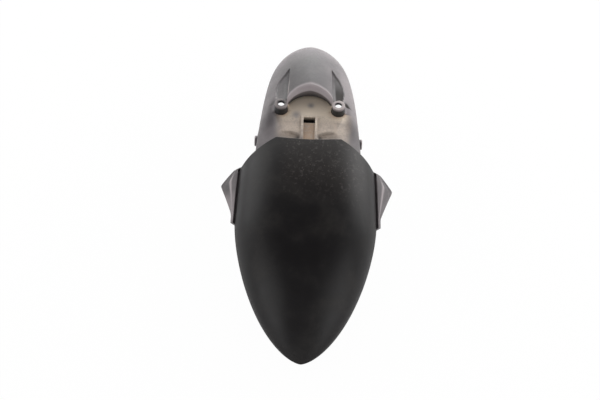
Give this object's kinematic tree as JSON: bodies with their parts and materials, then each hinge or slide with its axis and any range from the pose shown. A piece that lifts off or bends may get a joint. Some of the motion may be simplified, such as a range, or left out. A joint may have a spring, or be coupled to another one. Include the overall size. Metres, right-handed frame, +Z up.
{
  "type": "motorcycle front mudguard",
  "caption": "Front mudguard for a motorcycle: a grained rear carrier with an arched recess, ring bosses and side ears, and a smooth painted front panel screwed on over it.",
  "frame": {"origin": "on the ground under the middle of the part's box, as the mudguard stands on its front tip and the two lower corners of its tail", "axes": "+Z up, +X across to the rider's left as seen from the front (the right in the picture), +Y to the rear along the wheel's plane, so the painted tip points to -Y"},
  "size_m": [0.2636, 0.615, 0.2035],
  "materials": {
    "grained_plastic": "moulded grain",
    "painted_plastic": "satin paint",
    "screw_steel": "zinc plated"
  },
  "bodies": {
    "root": {"rear_mudguard": "grained_plastic", "front_panel": "painted_plastic", "panel_screw_1": "screw_steel", "panel_screw_2": "screw_steel", "panel_screw_3": "screw_steel", "panel_screw_4": "screw_steel"}
  },
  "joints": []
}
